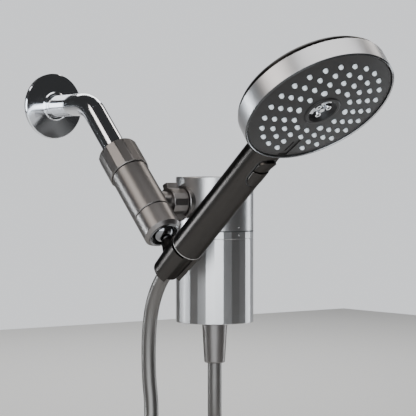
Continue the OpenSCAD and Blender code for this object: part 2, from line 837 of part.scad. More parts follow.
module spray_button() {
    color("#35312f") {
        difference() {
            on_handle(button_at) pill(button_len, button_w, 0, -30);
            on_handle(0) cylinder(r = button_inner_r, h = head_reach);
            on_handle(0) difference() {
                cylinder(r = 60, h = head_reach);
                translate([0, 0, -1]) cylinder(r = button_outer_r, h = button_at + 1);
                translate([0, 0, button_at - EPS])
                    cylinder(r1 = scoop_r, r2 = pad_r, h = button_len / 2 + 1);
            }
        }
        on_handle(button_at) rotate([90, 0, 0]) translate([0, 0, 3.4])
            cylinder(r = pin_r, h = button_inner_r - 3.2);
    }
}

module button_bezel() {
    color("#151515") difference() {
        on_handle(button_at) pill(button_len + 2.6, button_w + 2.6, 0, -30);
        on_handle(button_at) pill(button_len + 2 * free_gap, button_w + 2 * free_gap, 1, -31);
        on_handle(0) cylinder(r = handle_bore_r - 1.2, h = head_reach);
        on_handle(0) ring(60, handle_r - 0.5, head_reach);
    }
}

// ---- spray head ----

function dome_z(r, edge, h) = -rim_h - h * sqrt(max(0, 1 - pow(r / edge, 2)));

module dome(edge, h) {
    steps = 10;
    rotate_extrude() polygon(concat(
        [[0, -rim_h + EPS], [edge, -rim_h + EPS]],
        [for (i = [1 : steps]) let (r = edge * cos(90 * i / steps)) [r, dome_z(r, edge, h)]]));
}

// The handle's tube runs on under the rim band and into the domed back.
module neck() {
    intersection() {
        on_handle(head_reach - head_r - 6) cylinder(r = handle_r, h = head_r - 14);
        on_head(-60) cylinder(r = head_r, h = 60 - rim_h);
    }
}

module head_shell() {
    wall = 2;
    color("#3f3b39") difference() {
        union() {
            on_head(0) dome(head_r - 0.7, dome_h);
            neck();
        }
        on_head(0.5) dome(head_r - 0.7 - wall, dome_h - wall);
        on_handle(0) cylinder(r = handle_bore_r, h = head_reach - 40);
    }
}

module rim_ring() {
    color("#a9a6a3") on_head(-rim_h) difference() {
        rotate_extrude() polygon([
            [head_r - rim_wall, 0], [head_r - 0.5, 0], [head_r, 0.5], [head_r, rim_h - 1],
            [head_r - 1, rim_h], [head_r - rim_wall + 0.6, rim_h], [head_r - rim_wall, rim_h - 0.6]]);
        translate([0, 0, rim_h]) on_handle_from_head();
    }
}

// The part of the handle's bore that runs on through the rim, for the water tube.
module on_handle_from_head() {
    rotate([-(90 - head_tilt), 0, 0]) translate([0, head_lift, -head_reach])
        cylinder(r = tube_r + 0.4, h = head_reach);
}

module water_chamber() {
    wall = 2;
    flange_t = 2;
    color("#d9d9d4") difference() {
        union() {
            on_head(plate_z - chamber_h) bevelled(chamber_r, chamber_h, 1);
            on_head(plate_z - flange_t) cylinder(r = plate_r, h = flange_t);
        }
        on_head(plate_z - chamber_h + wall) cylinder(r = chamber_r - wall, h = chamber_h);
        on_handle(0) cylinder(r = tube_r, h = head_reach - chamber_r + 4);
        for (a = screw_angles) on_head(plate_z - 5) rotate([0, 0, a])
            translate([screw_ring_r, 0, 0]) cylinder(r = 1.6, h = 10);
    }
}

module chamber_screws() {
    color("#9a9a9a") for (a = screw_angles) on_head(plate_z - 4.4) rotate([0, 0, a])
        translate([screw_ring_r, 0, 0]) difference() {
            union() {
                cylinder(r = 2.8, h = 2.4);
                cylinder(r = 1.6, h = 6);
            }
            translate([0, 0, -1]) cylinder(r = 1.2, h = 2.2, $fn = 6);
        }
}

module distribution_plate() {
    color("#e3e3de") on_head(plate_z) difference() {
        cylinder(r = plate_r, h = plate_t);
        for (a = [0 : 30 : 330]) rotate([0, 0, a])
            translate([turbine_r + 9, 0, -1]) cylinder(r = 2.2, h = plate_t + 2);
        translate([0, 0, -1]) cylinder(r = axle_r, h = plate_t + 2);
        for (a = screw_angles) rotate([0, 0, a])
            translate([screw_ring_r, 0, -1]) cylinder(r = 1.6, h = 2.6);
        translate([0, 0, plate_t - 1]) ring(plate_r - 1, plate_r - 2.6, 2);
    }
}

module head_seal() {
    color("#1f1f1f") on_head(plate_z + plate_t - 0.2) rotate_extrude()
        translate([plate_r - 1.8, 0]) circle(r = 0.75, $fn = 24);
}

module turbine() {
    rotor_z = plate_z - 7.5;
    color("#f0efe9") on_head(rotor_z) difference() {
        union() {
            cylinder(r = 4, h = 5);
            ring(turbine_r, turbine_r - 1.6, 1.6);
            for (a = [0 : 45 : 315]) rotate([0, 0, a]) translate([3, -0.7, 0]) cube([turbine_r - 4, 1.4, 4.4]);
        }
        translate([0, 0, -1]) cylinder(r = axle_r + run_gap, h = 8);
    }
}

module turbine_axle() {
    color("#b9bcc0") on_head(plate_z - chamber_h + 2)
        cylinder(r = axle_r, h = chamber_h - 2 + plate_t - 0.4);
}

module nozzle_pattern() {
    for (k = [0 : 3], i = [skips(k) : nozzle_counts[k] - 1])
        rotate([0, 0, -90 + 360 * i / nozzle_counts[k]]) translate([ring_radius(k), 0, 0]) children();
}

// A shell whose outside lies at the given depth under the face, and its inside below that.
module face_cap(r, depth, t) {
    intersection() {
        translate([0, 0, -rim_h]) cylinder(r = r, h = 2 * rim_h);
        difference() {
            translate([0, 0, sphere_z]) sphere(r = sphere_r - depth, $fn = 96);
            translate([0, 0, sphere_z]) sphere(r = sphere_r - depth - t, $fn = 96);
        }
    }
}

function face_z(r) = sphere_z + sqrt(sphere_r * sphere_r - r * r);

module face_plate() {
    color("#2e2c2b") on_head(0) difference() {
        face_cap(face_r, 0, face_t);
        nozzle_pattern() translate([0, 0, -12]) cylinder(r = nozzle_r + hole_gap, h = 24);
        translate([0, 0, -12]) cylinder(r = bezel_r, h = 24);
        translate([-key_w / 2, -key_out, -12]) cube([key_w, key_out - key_in, 24]);
    }
}

module nozzle_mat() {
    color("#dfe6ea") on_head(0) union() {
        difference() {
            face_cap(plate_r - 3.6, face_t, mat_t);
            translate([0, 0, -12]) cylinder(r = bezel_r + 1, h = 24);
        }
        for (k = [0 : 3], i = [skips(k) : nozzle_counts[k] - 1])
            rotate([0, 0, -90 + 360 * i / nozzle_counts[k]])
                translate([ring_radius(k), 0, face_z(ring_radius(k)) - face_t - 1])
                    nozzle_tip();
    }
}

module nozzle_tip() {
    stand = 2.1;
    rotate_extrude($fn = 24) polygon([
        [0, 0], [nozzle_r, 0], [nozzle_r, face_t + stand + 0.2],
        [nozzle_r - 0.7, face_t + stand + 1], [0, face_t + stand + 1]]);
}

module face_key() {
    sink = 0.9;
    color("#1b1a1a") on_head(0) difference() {
        intersection() {
            face_cap(face_r, sink, face_t - sink);
            translate([-key_w / 2, -key_out, -12]) cube([key_w, key_out - key_in, 24]);
        }
        translate([-0.8, -key_out + 5, -12]) cube([1.6, key_out - key_in - 9, 24]);
    }
}

module center_bezel() {
    color("#4a4745") on_head(-4) difference() {
        bevelled(bezel_r - 0.02, 4 + face_z(0) + 0.8, 0.8);
        translate([0, 0, 2]) cylinder(r = jet_bore_r, h = 20);
        translate([0, 0, -1]) cylinder(r = 4, h = 20);
    }
}

module center_jets() {
    jet_ring_r = 5.8;
    color("#17181a") on_head(-2) difference() {
        union() {
            cylinder(r = jet_bore_r, h = 1.6);
            for (a = [-90, 30, 150]) rotate([0, 0, a]) translate([jet_ring_r, 0, 1.6])
                cylinder(r1 = 3.4, r2 = 2.4, h = 2.6);
            translate([0, 0, 1.6]) cylinder(r = 2.2, h = 2.8);
        }
        for (a = [-90, 30, 150]) rotate([0, 0, a]) translate([jet_ring_r, 0, -1]) cylinder(r = 1.1, h = 9);
    }
}

wall_flange();
flange_gasket();
shower_arm();
inlet_nut();
inlet_washer();
inlet_screen();
bracket_body();
ball_collar();
collar_trim();
ball_ring();
swivel_seat();
cradle_ball();
cradle();
cradle_screw();
union_nut();
union_seal();
cap_ring();
filter_cap();
lock_ring();
filter_shell();
housing_seal();
cartridge_top();
cartridge_tube();
filter_media();
cartridge_base();
cartridge_seal();
outlet_nipple();
lower_hose_nut();
lower_hose_washer();
hose_filter_run();
hose_coil();
coil_ties();
hose_handset_run();
upper_hose_nut();
upper_hose_washer();
inlet_nipple();
flow_restrictor();
handle_shell();
water_tube();
valve_sleeve();
valve_spring();
spray_button();
button_bezel();
head_shell();
rim_ring();
water_chamber();
chamber_screws();
distribution_plate();
head_seal();
turbine();
turbine_axle();
nozzle_mat();
face_plate();
face_key();
center_bezel();
center_jets();
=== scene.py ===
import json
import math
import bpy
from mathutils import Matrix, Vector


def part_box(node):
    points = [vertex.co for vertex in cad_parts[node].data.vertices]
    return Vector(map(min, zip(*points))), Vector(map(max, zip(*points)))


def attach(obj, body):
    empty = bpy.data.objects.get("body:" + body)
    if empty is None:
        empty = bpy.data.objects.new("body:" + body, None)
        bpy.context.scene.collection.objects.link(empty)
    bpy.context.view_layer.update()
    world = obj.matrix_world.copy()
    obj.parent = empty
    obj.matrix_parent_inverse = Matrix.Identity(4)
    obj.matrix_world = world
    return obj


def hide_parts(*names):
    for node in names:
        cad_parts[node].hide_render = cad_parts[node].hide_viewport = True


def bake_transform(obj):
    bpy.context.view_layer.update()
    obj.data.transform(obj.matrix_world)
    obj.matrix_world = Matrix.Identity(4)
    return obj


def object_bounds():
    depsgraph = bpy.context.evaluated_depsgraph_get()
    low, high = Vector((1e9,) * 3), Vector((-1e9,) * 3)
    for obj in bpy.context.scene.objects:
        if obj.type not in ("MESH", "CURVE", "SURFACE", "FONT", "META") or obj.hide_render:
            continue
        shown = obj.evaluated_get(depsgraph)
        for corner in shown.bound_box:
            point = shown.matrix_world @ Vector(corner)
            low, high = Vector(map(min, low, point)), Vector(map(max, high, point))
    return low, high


bl_info = {
    "name": "Wall-hung hand shower",
    "version": (1, 0, 0),
    "blender": (4, 5, 0),
    "location": "View3D > Sidebar > Shower",
    "description": "Finishes a hand shower, its in-line filter and its hose on the CAD frame",
    "category": "Object",
}

import bmesh
import bpy
from bpy.props import FloatProperty, FloatVectorProperty, IntProperty, PointerProperty
from mathutils import Matrix, Vector

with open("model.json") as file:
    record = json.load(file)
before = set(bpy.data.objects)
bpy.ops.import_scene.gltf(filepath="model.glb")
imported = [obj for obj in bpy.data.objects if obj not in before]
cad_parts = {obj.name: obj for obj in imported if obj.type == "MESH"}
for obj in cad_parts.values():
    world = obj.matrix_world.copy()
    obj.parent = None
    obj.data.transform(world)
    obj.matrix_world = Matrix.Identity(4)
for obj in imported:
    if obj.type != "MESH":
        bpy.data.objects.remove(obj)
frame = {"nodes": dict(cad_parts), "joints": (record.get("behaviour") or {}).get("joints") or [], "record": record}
CAD_BOX = [list(corner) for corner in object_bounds()]

MM = 0.001
X = Vector((1, 0, 0))
# Edges that turn more than these stay crisp in the shading.
CRISP = math.radians(10)
HEAD_CRISP = math.radians(20)
FACET_CRISP = math.radians(4)
# Edges that turn more than these are broken.
EDGE_SHARP = math.radians(28)
FLATS = math.radians(18)
FACETS = math.radians(9)
# Where the hose leaves the handset's nut, along the handle from the handle's end.
NUT_MOUTH = 37 * MM
# Where one cord of the hose ends and the next begins, in millimetres along the hose.
CORD_CUTS = (0, 80, 160, 240)
SLOTS = {part["node"]: part["material_slot"] for part in frame["record"]["subparts"]}
BODIES = {
    node: body for body, nodes in frame["record"]["behaviour"]["bodies"].items() for node in nodes
}
JOINTS = {joint["name"]: joint for joint in frame["joints"]}


def joint_point(name):
    return Vector(JOINTS[name]["pos_m"])


def joint_axis(name):
    return Vector(JOINTS[name]["axis"]).normalized()


# Places and directions that the whole object shares.
LEG = joint_axis("bracket_swivel")
HANDLE_END = joint_point("handset_twist")
HANDLE = joint_axis("handset_twist")
HEAD_CENTRE = joint_point("turbine_spin")
FACE = joint_axis("turbine_spin")
FILTER_AXIS = joint_point("lock_ring_twist")


def furthest(node, direction):
    """The furthest point of a CAD node in the direction given."""
    return max((v.co for v in frame["nodes"][node].data.vertices), key=direction.dot).copy()


RIM_PLANE = furthest("rim_ring", FACE)


# ---- materials ----


def node_after(tree, kind, **settings):
    node = tree.nodes.new(kind)
    for name, value in settings.items():
        setattr(node, name, value)
    return node


def plain_material(name, colour, metallic, roughness):
    """A new Principled material with its three main values set on the shader itself."""
    material = bpy.data.materials.new(name)
    material.use_nodes = True
    surface = material.node_tree.nodes["Principled BSDF"]
    surface.inputs["Base Color"].default_value = (*colour, 1)
    surface.inputs["Metallic"].default_value = metallic
    surface.inputs["Roughness"].default_value = roughness
    return material, material.node_tree, surface


def object_coordinates(tree, axis=None, scale=(1, 1, 1)):
    """Object coordinates turned so that z runs along the axis, then stretched."""
    coords = tree.nodes.new("ShaderNodeTexCoord")
    turn = tree.nodes.new("ShaderNodeMapping")
    if axis is not None:
        to_z = axis.rotation_difference(Vector((0, 0, 1)))
        turn.inputs["Rotation"].default_value = to_z.to_euler()
    stretch = tree.nodes.new("ShaderNodeMapping")
    stretch.inputs["Scale"].default_value = scale
    tree.links.new(coords.outputs["Object"], turn.inputs["Vector"])
    tree.links.new(turn.outputs["Vector"], stretch.inputs["Vector"])
    return stretch.outputs["Vector"]


def noise(tree, vector, scale, detail=3.0, roughness=0.5):
    texture = tree.nodes.new("ShaderNodeTexNoise")
    texture.inputs["Scale"].default_value = scale
    texture.inputs["Detail"].default_value = detail
    texture.inputs["Roughness"].default_value = roughness
    tree.links.new(vector, texture.inputs["Vector"])
    return texture.outputs["Fac"]


def spread(tree, value, low, high, source=(0.3, 0.7)):
    """The value, stretched so that the source range covers low to high."""
    spans = tree.nodes.new("ShaderNodeMapRange")
    spans.inputs["From Min"].default_value = source[0]
    spans.inputs["From Max"].default_value = source[1]
    spans.inputs["To Min"].default_value = low
    spans.inputs["To Max"].default_value = high
    tree.links.new(value, spans.inputs["Value"])
    return spans.outputs["Result"]


def bump(tree, surface, height, strength, distance):
    relief = tree.nodes.new("ShaderNodeBump")
    relief.inputs["Strength"].default_value = strength
    relief.inputs["Distance"].default_value = distance
    tree.links.new(height, relief.inputs["Height"])
    tree.links.new(relief.outputs["Normal"], surface.inputs["Normal"])


def two_tone(tree, surface, factor, dark, light):
    """Base colour that mixes two tones by the factor; the hose and the granules use it for painted shade in their
    dips, the rest for close tones that wander.
    """
    mix = node_after(tree, "ShaderNodeMix", data_type="RGBA")
    mix.inputs[6].default_value = (*dark, 1)
    mix.inputs[7].default_value = (*light, 1)
    tree.links.new(factor, mix.inputs[0])
    tree.links.new(mix.outputs[2], surface.inputs["Base Color"])


def tones(colour, spread_by):
    dark = [channel * (1 - spread_by) for channel in colour]
    light = [min(1.0, channel * (1 + spread_by)) for channel in colour]
    return dark, light


def polished_metal(name, colour, roughness):
    """Mirror-bright plating with water marks that only show in its gloss."""
    material, tree, surface = plain_material(name, colour, 1.0, roughness)
    marks = noise(tree, object_coordinates(tree), 55, 4, 0.6)
    gloss = spread(tree, marks, roughness * 0.6, roughness * 2.2)
    tree.links.new(gloss, surface.inputs["Roughness"])
    ripple = noise(tree, object_coordinates(tree), 22, 1)
    bump(tree, surface, ripple, 0.04, 0.0004)
    return material


def brushed_metal(name, colour, roughness, axis=None, round_grain=True, rim_light=1.0):
    """Satin plating over faint brushing, round the axis or along it."""
    grain = (90, 90, 6500) if round_grain else (5200, 5200, 60)
    material, tree, surface = plain_material(name, colour, 1.0, roughness)
    surface.inputs["Specular Tint"].default_value = (rim_light, rim_light, rim_light, 1)
    streaks = noise(tree, object_coordinates(tree, axis, grain), 1, 2, 0.55)
    clouds = noise(tree, object_coordinates(tree), 28, 3, 0.6)
    two_tone(tree, surface, spread(tree, clouds, 0, 1), *tones(colour, 0.03))
    tree.links.new(
        spread(tree, streaks, roughness - 0.004, roughness + 0.006), surface.inputs["Roughness"]
    )
    bump(tree, surface, clouds, 0.03, 0.00006)
    return material


def moulded_plastic(name, colour, roughness, coat=0.0, gloss=0.5):
    """Moulded plastic with a fine spark-eroded grain."""
    material, tree, surface = plain_material(name, colour, 0.0, roughness)
    surface.inputs["Specular IOR Level"].default_value = gloss
    surface.inputs["Coat Weight"].default_value = coat
    surface.inputs["Coat Roughness"].default_value = 0.08
    grain = noise(tree, object_coordinates(tree), 2400, 2, 0.6)
    clouds = noise(tree, object_coordinates(tree), 35, 3)
    two_tone(tree, surface, spread(tree, clouds, 0, 1), *tones(colour, 0.06))
    shine = spread(tree, grain, roughness - 0.05, roughness + 0.08)
    tree.links.new(shine, surface.inputs["Roughness"])
    bump(tree, surface, grain, 0.12, 0.00005)
    return material


def soft_rubber(name, colour, roughness):
    material, tree, surface = plain_material(name, colour, 0.0, roughness)
    surface.inputs["Sheen Weight"].default_value = 0.15
    pores = noise(tree, object_coordinates(tree), 1500, 3, 0.7)
    dust = noise(tree, object_coordinates(tree), 60, 4, 0.6)
    two_tone(tree, surface, spread(tree, dust, 0, 1), *tones(colour, 0.15))
    bump(tree, surface, pores, 0.2, 0.00008)
    return material


def nozzle_silicone(name, colour):
    """Pale silicone that glows a little where light passes through it."""
    material, tree, surface = plain_material(name, colour, 0.0, 0.34)
    surface.inputs["Subsurface Weight"].default_value = 0.35
    surface.inputs["Subsurface Radius"].default_value = (0.002, 0.0024, 0.003)
    surface.inputs["Subsurface Scale"].default_value = 1.0
    clouds = noise(tree, object_coordinates(tree), 180, 2)
    two_tone(tree, surface, spread(tree, clouds, 0, 1), *tones(colour, 0.03))
    bump(tree, surface, noise(tree, object_coordinates(tree), 1800, 2), 0.1, 0.00004)
    return material


def granules(name, colour):
    """A bed of black filter granules."""
    material, tree, surface = plain_material(name, colour, 0.0, 0.75)
    cells = tree.nodes.new("ShaderNodeTexVoronoi")
    cells.inputs["Scale"].default_value = 700
    tree.links.new(object_coordinates(tree), cells.inputs["Vector"])
    # The cells are painted darker in their low middles, where the bump dips: painted shade on the relief's own
    # mask.
    relief_and_dip_shade = cells.outputs["Distance"]
    two_tone(tree, surface, spread(tree, relief_and_dip_shade, 0, 1, (0, 0.8)), *tones(colour, 0.5))
    bump(tree, surface, relief_and_dip_shade, 0.6, 0.0006)
    return material


def ribbed_hose(name, colour, roughness, pitch):
    """A wound metal hose: one turn of strip every pitch, counted along its own length."""
    material, tree, surface = plain_material(name, colour, 1.0, roughness)
    surface.inputs["Specular Tint"].default_value = (0.4, 0.4, 0.4, 1)
    uv = tree.nodes.new("ShaderNodeUVMap")
    uv.uv_map = "along"
    parts = tree.nodes.new("ShaderNodeSeparateXYZ")
    turns = node_after(tree, "ShaderNodeMath", operation="MULTIPLY")
    turns.inputs[1].default_value = 2 * math.pi / pitch
    lean = node_after(tree, "ShaderNodeMath", operation="MULTIPLY_ADD")
    lean.inputs[1].default_value = 2 * math.pi
    wave = node_after(tree, "ShaderNodeMath", operation="SINE")
    tree.links.new(uv.outputs["UV"], parts.inputs["Vector"])
    tree.links.new(parts.outputs["Y"], turns.inputs[0])
    tree.links.new(parts.outputs["X"], lean.inputs[0])
    tree.links.new(turns.outputs["Value"], lean.inputs[2])
    tree.links.new(lean.outputs["Value"], wave.inputs[0])
    # The grooves between the turns are painted at a quarter of the colour: painted shade in the creases, on the
    # same mask that raises the ribs.
    ribs_and_groove_shade = spread(tree, wave.outputs["Value"], 0, 1, (-1, -0.2))
    two_tone(tree, surface, ribs_and_groove_shade, [c * 0.25 for c in colour], colour)
    scuffs = noise(tree, object_coordinates(tree), 240, 3)
    gloss = spread(tree, scuffs, roughness - 0.04, roughness + 0.1)
    tree.links.new(gloss, surface.inputs["Roughness"])
    bump(tree, surface, ribs_and_groove_shade, 0.55, 0.00022)
    return material


def finish_for(slot, axis=None, round_grain=True):
    """The material of a slot, with its brushing laid along the axis of the piece."""
    finish = bpy.context.scene.shower_finish
    lay = ""
    if axis is not None:
        lay = "_" + "_".join(f"{c:.2f}" for c in axis) + ("r" if round_grain else "l")
    name = slot + lay
    if name in bpy.data.materials:
        return bpy.data.materials[name]
    makers = {
        "polished_chrome": lambda: polished_metal(name, finish.chrome, 0.05),
        "shaded_joint_chrome": lambda: polished_metal(name, finish.joint, 0.12),
        "gunmetal_body": lambda: brushed_metal(name, finish.body, 0.34, axis, round_grain, 0.5),
        "gunmetal_filter": lambda: brushed_metal(name, finish.filter, 0.30, axis, round_grain, 0.7),
        "gunmetal_handset": lambda: brushed_metal(
            name, finish.handset, 0.28, axis, round_grain, 0.4
        ),
        "satin_rim": lambda: brushed_metal(name, finish.rim, 0.33, axis, round_grain),
        "hose_metal": lambda: ribbed_hose(name, finish.hose, 0.30, 1.9 * MM),
        "charcoal_face": lambda: moulded_plastic(name, finish.face, 0.42, 0.0, 0.3),
        "nozzle_silicone": lambda: nozzle_silicone(name, finish.nozzle),
        "gloss_black": lambda: moulded_plastic(name, (0.012, 0.012, 0.014), 0.12, 1.0),
        "black_rubber": lambda: soft_rubber(name, (0.02, 0.02, 0.021), 0.6),
        "white_acetal": lambda: moulded_plastic(name, (0.78, 0.77, 0.73), 0.38),
        "filter_carbon": lambda: granules(name, (0.03, 0.03, 0.032)),
        "flow_insert": lambda: moulded_plastic(name, (0.08, 0.33, 0.16), 0.4),
        "brass_fitting": lambda: brushed_metal(name, (0.72, 0.50, 0.22), 0.25, axis, round_grain),
        "stainless_steel": lambda: brushed_metal(name, (0.55, 0.55, 0.56), 0.28, axis, round_grain),
    }
    return makers[slot]()


# ---- building blocks ----


def link_mesh(name, bm):
    mesh = bpy.data.meshes.new(name)
    bm.to_mesh(mesh)
    bm.free()
    piece = bpy.data.objects.new(name, mesh)
    bpy.context.scene.collection.objects.link(piece)
    return piece


def soften(piece, angle):
    """Smooth faces, with the edges that turn more than the angle left crisp."""
    bm = bmesh.new()
    bm.from_mesh(piece.data)
    for face in bm.faces:
        face.smooth = True
    for edge in bm.edges:
        edge.smooth = edge.is_boundary or edge.calc_face_angle(0) < angle
    bm.to_mesh(piece.data)
    bm.free()


def finish_piece(piece, body, slot, axis=None, round_grain=True, replaces=(), look=None):
    """Material and body of a made piece, its material picked by its slot; look names another finish than its
    slot's.
    """
    piece.data.materials.clear()
    piece.data.materials.append(finish_for(look or slot, axis, round_grain))
    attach(piece, body)
    if replaces:
        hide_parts(*replaces)
    return piece


def paint(node, axis=None, round_grain=True, look=None):
    """A CAD node keeps its shape and gets its slot's finish, or the look named."""
    piece = frame["nodes"][node]
    piece.data.materials.clear()
    piece.data.materials.append(finish_for(look or SLOTS[node], axis, round_grain))


def dress(
    node, edge, axis=None, round_grain=True, sharp=EDGE_SHARP, crisp=CRISP, look=None
):
    """A copy of a CAD node with its edges broken, which stands for the node."""
    bm = bmesh.new()
    bm.from_mesh(frame["nodes"][node].data)
    bmesh.ops.remove_doubles(bm, verts=bm.verts, dist=0.002 * MM)
    bmesh.ops.dissolve_limit(
        bm, angle_limit=math.radians(0.5), verts=bm.verts, edges=bm.edges, delimit={"NORMAL"}
    )
    corners = [e for e in bm.edges if len(e.link_faces) == 2 and e.calc_face_angle(0) > sharp]
    bmesh.ops.bevel(
        bm, geom=corners, offset=edge, offset_type="OFFSET", segments=2, profile=0.5,
        affect="EDGES", material=-1, clamp_overlap=True,
    )
    piece = link_mesh(node + "_dressed", bm)
    soften(piece, crisp)
    return finish_piece(piece, BODIES[node], SLOTS[node], axis, round_grain, [node], look)


def lathe(bm, profile, sides, place, closed=False):
    """Turn a profile of (radius, height) points round z; a radius of nought closes to a point."""
    rings = []
    for radius, height in profile:
        count = sides if radius > 0 else 1
        rings.append([
            bm.verts.new(place @ Vector((
                radius * math.cos(2 * math.pi * k / sides),
                radius * math.sin(2 * math.pi * k / sides),
                height,
            )))
            for k in range(count)
        ])
    pairs = list(zip(rings, rings[1:])) + ([(rings[-1], rings[0])] if closed else [])
    for lower, upper in pairs:
        for k in range(sides):
            after = (k + 1) % sides
            corners = [
                lower[k % len(lower)], lower[after % len(lower)],
                upper[after % len(upper)], upper[k % len(upper)],
            ]
            bm.faces.new(list(dict.fromkeys(corners)))


def band(name, body, slot, place, profile, look=None):
    """A thin ring, turned from a closed profile that runs up its outside and down its inside."""
    bm = bmesh.new()
    lathe(bm, profile, 128, place, closed=True)
    piece = link_mesh(name, bm)
    soften(piece, math.radians(30))
    return finish_piece(piece, body, slot, look=look)


def bead(radius, width, proud):
    """Profile of a low band with rounded corners that stands a little out of a round part."""
    half, inner = width / 2, radius - 0.4 * MM
    return [
        (inner, -half), (radius + 0.4 * proud, -half), (radius + proud, -0.5 * half),
        (radius + proud, 0.5 * half), (radius + 0.4 * proud, half), (inner, half),
    ]


# ---- spray face ----


def placed_head():
    """The head's own frame: z out of the spray face, -y towards the handle's lower end."""
    side = (HANDLE - HANDLE.dot(FACE) * FACE).normalized()
    turn = Matrix((side.cross(FACE), side, FACE)).transposed().to_4x4()
    centre = HEAD_CENTRE + (RIM_PLANE - HEAD_CENTRE).dot(FACE) * FACE
    return Matrix.Translation(centre) @ turn


def rise_lost(radius, ball):
    """How far a sphere falls away from its top at this distance from the axis."""
    return ball - math.sqrt(ball * ball - radius * radius)


def nozzle_profile(foot):
    """Outline of one nozzle, from under the face plate to the small outlet in its tip."""
    tip = 2.3 * MM
    dome = [
        (foot * (0.34 + 0.62 * math.cos(a)), 0.45 * MM + (tip - 0.45 * MM) * math.sin(a))
        for a in (math.pi / 2 * i / 5 for i in range(6))
    ]
    return [
        (0, -3.4 * MM), (foot, -3.4 * MM), (foot, 0.1 * MM), *dome,
        (0.22 * foot, tip - 0.12 * MM), (0.2 * foot, tip - 0.5 * MM), (0, tip - 0.55 * MM),
    ]


# ---- hose ----


def curve_through(points, step):
    """Evenly spaced points on a smooth curve through the points given."""
    ends = [points[0] * 2 - points[1], *points, points[-1] * 2 - points[-2]]
    fine = []
    for a, b, c, d in zip(ends, ends[1:], ends[2:], ends[3:]):
        pieces = max(4, round((c - b).length / (0.5 * step)))
        for i in range(pieces):
            t = i / pieces
            fine.append(
                0.5 * (2 * b + (c - a) * t + (2 * a - 5 * b + 4 * c - d) * t**2
                       + (3 * b - a - 3 * c + d) * t**3)
            )
    fine.append(points[-1])
    return evenly(fine, step)


def evenly(points, step):
    """The same line with its points a step apart, first and last kept."""
    lengths = [0.0]
    for a, b in zip(points, points[1:]):
        lengths.append(lengths[-1] + (b - a).length)
    count = max(2, round(lengths[-1] / step))
    out, at = [], 0
    for i in range(count + 1):
        want = lengths[-1] * i / count
        while at < len(points) - 2 and lengths[at + 1] < want:
            at += 1
        span = lengths[at + 1] - lengths[at]
        out.append(points[at].lerp(points[at + 1], (want - lengths[at]) / span if span else 0))
    return out


def tube(name, path, radius, sides, start_length=0.0):
    """A closed round tube along the path, with UVs that count metres along it."""
    bm = bmesh.new()
    uv = bm.loops.layers.uv.new("along")
    tangent = (path[1] - path[0]).normalized()
    across = tangent.orthogonal().normalized()
    rings, runs, run = [], [], start_length
    for i, point in enumerate(path):
        ahead = (path[min(i + 1, len(path) - 1)] - path[max(i - 1, 0)]).normalized()
        across = tangent.rotation_difference(ahead) @ across
        tangent = ahead
        up = tangent.cross(across)
        ring = []
        for k in range(sides):
            angle = 2 * math.pi * k / sides
            outward = math.cos(angle) * across + math.sin(angle) * up
            ring.append(bm.verts.new(point + radius * outward))
        rings.append(ring)
        run += (point - path[i - 1]).length if i else 0
        runs.append(run)
    for i in range(len(rings) - 1):
        for k in range(sides):
            after = (k + 1) % sides
            face = bm.faces.new(
                (rings[i][k], rings[i][after], rings[i + 1][after], rings[i + 1][k])
            )
            face.smooth = True
            corners = ((k, runs[i]), (k + 1, runs[i]), (k + 1, runs[i + 1]), (k, runs[i + 1]))
            for loop, (u, v) in zip(face.loops, corners):
                loop[uv].uv = (u / sides, v)
    for cap in (bm.faces.new(reversed(rings[0])), bm.faces.new(rings[-1])):
        for edge in cap.edges:
            edge.smooth = False
    return link_mesh(name, bm)


def hose_line(hose):
    """The hose's centre line from inside the handset's nut to inside the filter's nut."""
    middle = Vector((39, -178, -386)) * MM
    radius = hose.coil_diameter / 2
    from_handset = [HANDLE_END - d * MM * HANDLE for d in (30, 37, 47)]
    from_handset += [
        Vector(p) * MM
        for p in (
            (0, -175.5, -171), (0, -168.5, -186), (0, -164.5, -204), (0, -163, -226),
            (0, -164, -250), (0, -167, -272), (-3, -171, -294), (-9, -176, -316),
            (-18, -180, -337), (-25, -181, -357), (-28.6, -178.4, -376),
        )
    ]
    turns = []
    steps = round(hose.turns * 24)
    for i in range(steps + 1):
        angle = math.pi + 2 * math.pi * hose.turns * i / steps
        depth = hose.pitch * hose.turns * i / steps
        turns.append(middle + Vector((radius * math.cos(angle), depth, radius * math.sin(angle))))
    to_filter = [
        Vector(p) * MM
        for p in (
            (106.7, -143.4, -376), (104.5, -142.2, -362), (98.5, -144, -344), (90, -148.5, -326),
            (82.5, -154, -308), (78.6, -157.8, -290),
        )
    ]
    nut_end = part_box("lower_hose_nut")[0].z
    plumb = Vector((FILTER_AXIS.x, FILTER_AXIS.y, nut_end))
    to_filter += [plumb - Vector((0, 0, d * MM)) for d in (29, 10, 0, -7)]
    return curve_through(from_handset + turns + to_filter, 2.5 * MM)


class ShowerHoseSettings(bpy.types.PropertyGroup):
    diameter: FloatProperty(
        name="Diameter", description="Outer diameter of the hose", default=13 * MM, unit="LENGTH"
    )
    coil_diameter: FloatProperty(
        name="Coil diameter", description="Mean diameter of the stored turns", default=136 * MM,
        unit="LENGTH",
    )
    pitch: FloatProperty(
        name="Pitch", description="Distance from one stored turn to the next", default=13.6 * MM,
        unit="LENGTH",
    )
    turns: FloatProperty(name="Turns", description="Number of stored turns", default=2.5)
    sides: IntProperty(name="Sides", description="Facets round the hose", default=24)


